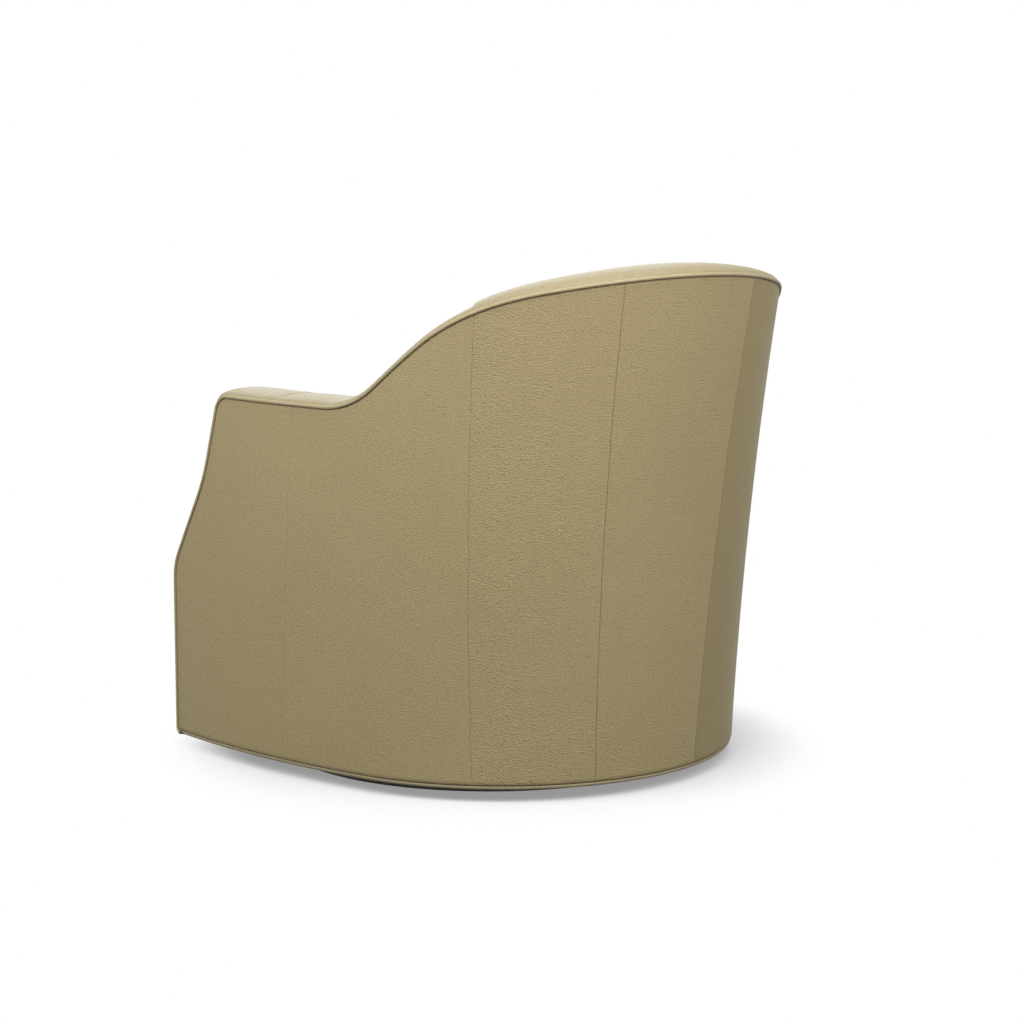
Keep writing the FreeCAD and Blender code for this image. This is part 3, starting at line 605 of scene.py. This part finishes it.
def front_crown(length):
    """The strip stands full where it is drawn round the arm's corner, and thins down the front."""
    corner = 0.0062 * math.sin(math.pi * min(1.0, length / 0.095)) ** 1.5
    return 0.0110 + corner - 0.0034 * min(1.0, 4.0 * length)


back_end = side_seam(rail_level(0.325))
corner_station = front_station(0.5715)
back_frames = [rail_frame(-back_end + 2 * back_end * step / 180) for step in range(181)]
back_strip = swept(back_frames, strip_outline(back_crown, 2 * back_end))
back_roll = finished("back_roll", back_strip, shaded_roll_leather, "chair")
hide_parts("back_roll")


def mirrored(frames):
    return [tuple(Vector((-part.x, part.y, part.z)) for part in spot) for spot in frames]


arm_length = 0.35
facing_length = 0.62
arm_frames = [rail_frame(back_end + (corner_station - back_end) * step / 150) for step in range(151)]
facing_frames = front_frames(160)
sides = {"left": lambda frames: frames, "right": mirrored}
for side, turned in sides.items():
    arm_strip = swept(turned(arm_frames), strip_outline(arm_crown, arm_length))
    arm_roll = finished("arm_roll_" + side, arm_strip, shaded_roll_leather, "chair")
    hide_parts("arm_roll_" + side)
    facing_strip = swept(turned(facing_frames), strip_outline(front_crown, facing_length))
    facing = finished("arm_facing_" + side, facing_strip, shaded_roll_leather, "chair")
    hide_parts("arm_facing_" + side)


# Welts: cord covered in the same hide, sewn in along both edges of the roll and down the arm fronts,
# and one thicker cord tucked under the outside cover along the bottom.
rail_run = mirrored(list(reversed(arm_frames)))[:-1] + back_frames + arm_frames[1:]
whole_run = mirrored(list(reversed(facing_frames)))[:-1] + rail_run + facing_frames[1:]


def welt(name, frames, across, radius, rounds, shade_turn, shade_reach):
    """A cord along frames; it takes a line of painted shade where it meets the cover, centred on the given
    turn.
    """
    count = len(frames) - 1
    mesh = bmesh.new()
    turns = mesh.verts.layers.float.new("painted_seam_shade")
    bmesh.ops.create_grid(mesh, x_segments=count, y_segments=rounds, size=0.5)
    for point in mesh.verts:
        length, turn = point.co.x + 0.5, point.co.y + 0.5
        angle = 2 * math.pi * turn
        point[turns] = turn
        point.co = on_frame(frames[round(length * count)], across + radius * math.cos(angle),
                            radius * math.sin(angle))
    bmesh.ops.remove_doubles(mesh, verts=list(mesh.verts), dist=0.00002)
    bmesh.ops.holes_fill(mesh, edges=[edge for edge in mesh.edges if edge.is_boundary])
    # Painted shade along the line where the cord meets the cover.
    for point in mesh.verts:
        gap = abs((point[turns] - shade_turn + 0.5) % 1.0 - 0.5)
        point[turns] = painted(gap, shade_reach)
    piece = finished(name, mesh, welt_leather, "chair")
    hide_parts(name)
    return piece


cord_radius = 0.003
bottom_radius = 0.00375
welt("outer_welt", whole_run, 0.0005, cord_radius, 20, 0.70, 0.10)
welt("inner_welt", whole_run, wall - 0.0005, cord_radius, 20, 0.80, 0.10)
bottom_end = back_arc + arm_arc + (arm_centre_y - front_y)
bottom_frames = []
for step in range(301):
    spot = wall_point(-bottom_end + 2 * bottom_end * step / 300, 0.0, body_bottom + bottom_radius)
    bottom_frames.append((spot, inward_at(spot), Vector((0.0, 0.0, 1.0))))
welt("bottom_welt", bottom_frames, 0.0018 + bottom_radius, bottom_radius, 20, 0.36, 0.06)


# Inside pads and deck: foam and wadding under the same hide, sewn to the welts and drawn down at the seat.
# Each starts from its solid form, a little smaller, and is blown up by its own filling against its seams.
def stuffed(name, body, material, voxel, shrink, cap, held):
    """held gives 1 where a point is sewn down and 0 where it is free; cap is how far the filling may push."""
    mesh = bmesh.new()
    mesh.from_mesh(frame["nodes"][name].data)
    bmesh.ops.remove_doubles(mesh, verts=list(mesh.verts), dist=0.0001)
    data = bpy.data.meshes.new(name + "_form")
    mesh.to_mesh(data)
    mesh.free()
    form = bpy.data.objects.new(name + "_form", data)
    scene.collection.objects.link(form)
    remesh = form.modifiers.new("remesh", "REMESH")
    remesh.mode = "VOXEL"
    remesh.voxel_size = voxel
    graph = bpy.context.evaluated_depsgraph_get()
    soft = bpy.data.meshes.new_from_object(form.evaluated_get(graph))
    bpy.data.objects.remove(form)
    soft.name = name
    points = np.zeros(len(soft.vertices) * 3, np.float32)
    normals = np.zeros(len(soft.vertices) * 3, np.float32)
    soft.vertices.foreach_get("co", points)
    soft.vertices.foreach_get("normal", normals)
    points = points.reshape(-1, 3)
    normals = normals.reshape(-1, 3)
    hold = np.array([held(Vector(point)) for point in points.tolist()], np.float32)
    start = points - normals * (shrink * (1.0 - hold))[:, None]
    soft.vertices.foreach_set("co", start.ravel())
    piece = bpy.data.objects.new(name, soft)
    scene.collection.objects.link(piece)
    pins = piece.vertex_groups.new(name="sewn")
    for index in np.nonzero(hold > 0.85)[0]:
        pins.add([int(index)], 1.0, "REPLACE")
    cloth = piece.modifiers.new("filling", "CLOTH")
    cloth.settings.quality = 5
    cloth.settings.mass = 0.3
    cloth.settings.use_pressure = True
    cloth.settings.uniform_pressure_force = 4.0
    cloth.settings.effector_weights.gravity = 0.0
    cloth.settings.vertex_group_mass = "sewn"
    for step in range(1, 21):
        scene.frame_set(step)
    graph = bpy.context.evaluated_depsgraph_get()
    blown = piece.evaluated_get(graph).to_mesh()
    moved = np.zeros(len(blown.vertices) * 3, np.float32)
    blown.vertices.foreach_get("co", moved)
    piece.evaluated_get(graph).to_mesh_clear()
    piece.modifiers.remove(cloth)
    piece.vertex_groups.clear()
    scene.frame_set(1)
    shift = moved.reshape(-1, 3) - start
    length = np.linalg.norm(shift, axis=1)[:, None]
    shift *= np.minimum(1.0, cap / np.maximum(length, 1e-6))
    soft.vertices.foreach_set("co", (start + shift).ravel())
    for face in soft.polygons:
        face.use_smooth = True
    soft.materials.clear()
    soft.materials.append(material)
    calm = piece.modifiers.new("calm", "SMOOTH")
    calm.factor = 0.5
    calm.iterations = 5
    smooth = piece.modifiers.new("smooth", "SUBSURF")
    smooth.levels = 1
    smooth.render_levels = 1
    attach(piece, body)
    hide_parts(name)
    return piece


def inset_of(point):
    """How far a point is in from the outside of the wall."""
    y = point.y - lean_shift(point.z)
    if y > back_centre_y + back_radius * math.cos(back_half_angle):
        return back_radius - math.hypot(point.x, y - back_centre_y)
    if y > arm_centre_y:
        return arm_radius - math.hypot(abs(point.x) - arm_centre_x, y - arm_centre_y)
    return half_width - abs(point.x)


def closeness(distance, reach):
    return max(0.0, 1.0 - max(0.0, distance) / reach)


deck_top = 0.300
deck_bottom = 0.2883
pad_back = 0.056
seat_leather = leather("seat_leather", hide_tone, 0.0030, 0.00050)


def sewn_rim(point):
    """1 along the top welt, the board behind and the seat, 0 away from them."""
    top_gap = rail_level(station_of(point)) - point.z
    return max(closeness(inset_of(point) - pad_back, 0.02), closeness(top_gap - 0.006, 0.016),
               closeness(point.z - deck_bottom, 0.012))


def back_rim(point):
    """As sewn_rim, and 1 where the inside back meets the inside arms."""
    corner_gap = abs(abs(station_of(point)) - side_seam(point.z))
    return max(sewn_rim(point), closeness(corner_gap - 0.003, 0.014))


def arm_rim(point):
    """As back_rim, and 1 along the arm's front."""
    front_gap = front_station(point.z) - abs(station_of(point))
    return max(back_rim(point), closeness(front_gap - 0.006, 0.014))


for side in sides:
    stuffed("inside_arm_pad_" + side, "chair", seat_leather, 0.006, 0.004, 0.0065,
            arm_rim)
stuffed("inside_back_pad", "chair", seat_leather, 0.006, 0.005, 0.0085, back_rim)
stuffed("deck_pad", "chair", seat_leather, 0.005, 0.0005, 0.001, lambda point: 0.0)


# Front border: the same hide over wadding on a bowed board, closing the front under the cushion.
# It is turned over the board's edges above and below, and stapled behind.
bow_half = half_width - wall
bow_depth = 0.047
bow_radius = (bow_half ** 2 + bow_depth ** 2) / (2 * bow_depth)
bow_centre_y = front_y - bow_depth + bow_radius
border_outer = rounded_line([(0.012, 0.0195), (0.0, 0.0195), (0.0, 0.2900), (0.0137, 0.2900)], [0.005, 0.006])
border_inner = rounded_line([(0.012, 0.0199), (0.001, 0.0199), (0.001, 0.2889), (0.0137, 0.2889)],
                            [0.004, 0.005])


def border_place(across, along, layer):
    line = border_inner if layer else border_outer
    runs = [0.0]
    for first, second in zip(line, line[1:]):
        runs.append(runs[-1] + (second - first).length)
    run = runs[-1] * eased(along)
    depth = float(np.interp(run, runs, [point.x for point in line]))
    z = float(np.interp(run, runs, [point.y for point in line]))
    spread = 2 * across - 1
    swell = 0.0035 * (1 - spread ** 6) * max(0.0, 1 - (2 * along - 1) ** 4)
    x = (bow_half - 0.0022) * spread
    return Vector((x, bow_centre_y - math.sqrt((bow_radius - depth + swell) ** 2 - x ** 2), z))


border = finished("front_border", shaped_shell(64, 72, border_place), seat_leather, "chair")
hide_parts("front_border")


# Loose seat cushion: a foam block in the same hide, boxed between two seams and crowned on top.
# It lies on the deck and lifts out.
cushion_low = deck_top + 0.0003
cushion_edge = cushion_low + 0.140


def cushion_seams(point):
    return max(closeness(abs(point.z - cushion_edge), 0.012), closeness(abs(point.z - cushion_low), 0.012))


stuffed("seat_cushion", "cushion", seat_leather, 0.007, 0.010, 0.0105, cushion_seams)


# Cushion welts: cords covered in the same hide, sewn in round the top and the bottom of the cushion's sides.
# They follow the cushion's own outline.
def outline_at(node, z):
    """The outline of a solid at a height, as a closed list of points."""
    mesh = bmesh.new()
    mesh.from_mesh(frame["nodes"][node].data)
    bmesh.ops.remove_doubles(mesh, verts=list(mesh.verts), dist=0.0001)
    whole = list(mesh.verts) + list(mesh.edges) + list(mesh.faces)
    cut = bmesh.ops.bisect_plane(mesh, geom=whole, plane_co=(0.0, 0.0, z), plane_no=(0.0, 0.0, 1.0),
                                 clear_inner=True, clear_outer=True)
    edges = [part for part in cut["geom_cut"] if isinstance(part, bmesh.types.BMEdge)]
    start = edges[0].verts[0]
    points = [start.co.copy()]
    edge = edges[0]
    here = edge.other_vert(start)
    while here is not start:
        points.append(here.co.copy())
        edge = next(other for other in here.link_edges if other is not edge)
        here = edge.other_vert(here)
    mesh.free()
    return points


def closed_cord(name, points, radius, material):
    curve = bpy.data.curves.new(name, "CURVE")
    curve.dimensions = "3D"
    curve.bevel_depth = radius
    curve.bevel_resolution = 3
    line = curve.splines.new("POLY")
    line.points.add(len(points) - 1)
    for spot, point in zip(line.points, points):
        spot.co = (*point, 1.0)
    line.use_cyclic_u = True
    holder = bpy.data.objects.new(name + "_line", curve)
    scene.collection.objects.link(holder)
    graph = bpy.context.evaluated_depsgraph_get()
    data = bpy.data.meshes.new_from_object(holder.evaluated_get(graph))
    bpy.data.objects.remove(holder)
    mesh = bmesh.new()
    mesh.from_mesh(data)
    bmesh.ops.remove_doubles(mesh, verts=list(mesh.verts), dist=0.00002)
    return finished(name, mesh, material, "cushion")


for name, level in (("cushion_welt_top", cushion_edge), ("cushion_welt_bottom", cushion_low + 0.004)):
    cord = closed_cord(name, outline_at("seat_cushion", level - 0.0005), cord_radius, welt_leather)


# The wooden frame: beech posts and rails with plywood formers and swivel board, sawn to shape.
# They are glued and stapled, and the grain runs along each piece.
def wood(name, stretch, tone):
    material, shader, place = new_finish(name, 0.6)
    grain = place.node("VectorMath", {"operation": "MULTIPLY"}, {0: place, 1: stretch})
    bands = place.node("TexNoise", {}, {"Vector": grain, "Scale": 60.0, "Detail": 4.0, "Distortion": 0.6})
    fibre = place.node("TexNoise", {}, {"Vector": grain, "Scale": 420.0, "Detail": 2.0})
    dark = tuple(part * 0.62 for part in tone[:3]) + (1.0,)
    (bands * 0.7 + fibre * 0.3).tint(tone, dark).feed(shader, "Base Color")
    place.node("Bump", {}, {"Height": fibre, "Strength": 0.3, "Distance": 0.0003}).feed(shader, "Normal")
    (0.52 + bands * 0.2).feed(shader, "Roughness")
    return material


def dress(names, material):
    """The solids' own meshes, left as they are, with a material in their slot."""
    for name in names:
        data = frame["nodes"][name].data
        data.materials.clear()
        data.materials.append(material)


beech = colour(196, 164, 120)
upright_wood = wood("upright_wood", (1.0, 1.0, 0.08), beech)
level_wood = wood("level_wood", (0.08, 0.6, 1.0), beech)
plywood = wood("plywood", (0.3, 0.3, 1.6), colour(186, 152, 108))
dress(["arm_front_post_left", "arm_front_post_right", "arm_post_left", "arm_post_right", "back_post_centre",
       "back_post_left", "back_post_right"], upright_wood)
dress(["back_top_rail", "arm_top_rail_left", "arm_top_rail_right", "seat_front_rail", "seat_back_rail",
       "bottom_front_rail", "corner_blocks"], level_wood)
dress(["bottom_former", "seat_former", "swivel_board"], plywood)


# Boards: thin grey-brown fibreboard with a flecked face, bent round the posts to carry the covers.
# They are stapled to the posts and rails.
board_finish, board_shader, board_place = new_finish("fibreboard", 0.75)
flecks = board_place.node("TexNoise", {}, {"Vector": board_place, "Scale": 260.0, "Detail": 5.0,
                                           "Roughness": 0.7})
board_bump = board_place.node("Bump", {}, {"Height": flecks, "Strength": 0.3, "Distance": 0.0004})
flecks.tint(colour(150, 124, 90), colour(104, 82, 56)).feed(board_shader, "Base Color")
board_bump.feed(board_shader, "Normal")
dress(["back_shell_board", "arm_shell_board_left", "arm_shell_board_right", "front_shell_board",
       "arm_inner_board_left", "arm_inner_board_right"], board_finish)


# Webbing: woven elastic webs stretched across the inside of the back and stapled to its posts.
# They show a plain weave, as the black cloth below does.
def weave(name, first, second, pitch, axes):
    material, shader, place = new_finish(name, 0.85)
    threads = []
    for axis in axes:
        along = place.node("SeparateXYZ", {}, {0: place}, axis)
        threads.append(place.math("SINE", along * (2 * math.pi / pitch)))
    over = threads[0] * threads[1]
    height = over * 0.5 + 0.5
    height.tint(first, second).feed(shader, "Base Color")
    place.node("Bump", {}, {"Height": height, "Strength": 0.5, "Distance": 0.0004}).feed(shader, "Normal")
    return material


dress(["back_webbing"], weave("web_cloth", colour(120, 104, 82), colour(92, 78, 60), 0.0022, ("X", "Z")))


# Black cloth under the body: thin woven cloth stapled round its edge and round the swivel.
# It hangs slightly slack between the two.
black_cloth = weave("black_cloth", colour(22, 22, 23), colour(40, 40, 42), 0.0012, ("X", "Y"))
dress(["dust_cover"], black_cloth)
cloth_inset = 0.016
cloth_hole = 0.165
cloth_slack = 0.0012
cloth_edge = []
for step in range(241):
    cloth_edge.append(wall_point(-bottom_end + 2 * bottom_end * step / 240, cloth_inset, body_bottom))
front_left, front_right = cloth_edge[-1], cloth_edge[0]
cloth_edge += [front_left.lerp(front_right, step / 40) for step in range(1, 40)]
cloth_turns = sorted((math.atan2(point.y, point.x), math.hypot(point.x, point.y)) for point in cloth_edge)


def cloth_place(across, along):
    turn = math.pi * (2 * across - 1)
    reach = float(np.interp(turn, [spot[0] for spot in cloth_turns], [spot[1] for spot in cloth_turns],
                            period=2 * math.pi))
    radius = cloth_hole + (reach - cloth_hole) * along
    z = body_bottom - 0.0008 - cloth_slack * math.sin(math.pi * along)
    return Vector((radius * math.cos(turn), radius * math.sin(turn), z))


cloth_mesh = shaped_grid(180, 12, cloth_place)
bmesh.ops.remove_doubles(cloth_mesh, verts=list(cloth_mesh.verts), dist=0.00002)
cloth_area = sum(face.calc_area() for face in cloth_mesh.faces)
cloth = finished("dust_cloth", cloth_mesh, black_cloth, "chair")
cloth_thickness = cloth.modifiers.new("thickness", "SOLIDIFY")
cloth_thickness.thickness = 0.0006
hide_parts("dust_cover")


# Seat springs, clips, ball race and bolts: drawn steel wire and pressed, zinc-plated plate, lightly brushed.
# The springs hang in the clips, and the two plates turn on the balls about the pivot.
steel, steel_shader, steel_place = new_finish("zinc_steel", 0.35, 1.0)
scratches = steel_place.node("VectorMath", {"operation": "MULTIPLY"}, {0: steel_place, 1: (1.0, 0.05, 1.0)})
brushed = steel_place.node("TexNoise", {}, {"Vector": scratches, "Scale": 900.0, "Detail": 2.0})
brushed.tint(colour(176, 178, 180), colour(146, 148, 150)).feed(steel_shader, "Base Color")
(0.28 + brushed * 0.2).feed(steel_shader, "Roughness")
dress(["seat_springs", "spring_clips", "swivel_lower_plate", "swivel_lower_screws", "swivel_upper_plate",
       "swivel_upper_screws", "swivel_pivot", "pivot_washer", "pivot_nut", "bearing_balls", "ball_cage"],
      steel)


# Turning base: a round board painted satin black, with a little dust on it.
# It stands on eight black plastic glides that are nailed in below.
black, black_shader, black_place = new_finish("black_paint", 0.45)
speckle = black_place.node("TexNoise", {}, {"Vector": black_place, "Scale": 700.0, "Detail": 2.0})
dust = black_place.node("TexNoise", {}, {"Vector": black_place, "Scale": 14.0, "Detail": 4.0})
(dust * 0.6 + speckle * 0.4).tint(colour(20, 20, 20), colour(33, 32, 31)).feed(black_shader, "Base Color")
(0.4 + dust * 0.2).feed(black_shader, "Roughness")
black_bump = black_place.node("Bump", {}, {"Height": speckle, "Strength": 0.2, "Distance": 0.0002})
black_bump.feed(black_shader, "Normal")
dress(["base_disc"], black)
glide, glide_shader, glide_place = new_finish("glide_plastic", 0.5)
mould = glide_place.node("TexNoise", {}, {"Vector": glide_place, "Scale": 1200.0, "Detail": 1.0})
mould.tint(colour(26, 26, 27), colour(34, 34, 35)).feed(glide_shader, "Base Color")
glide_bump = glide_place.node("Bump", {}, {"Height": mould, "Strength": 0.2, "Distance": 0.0001})
glide_bump.feed(glide_shader, "Normal")
dress(["base_glides"], glide)
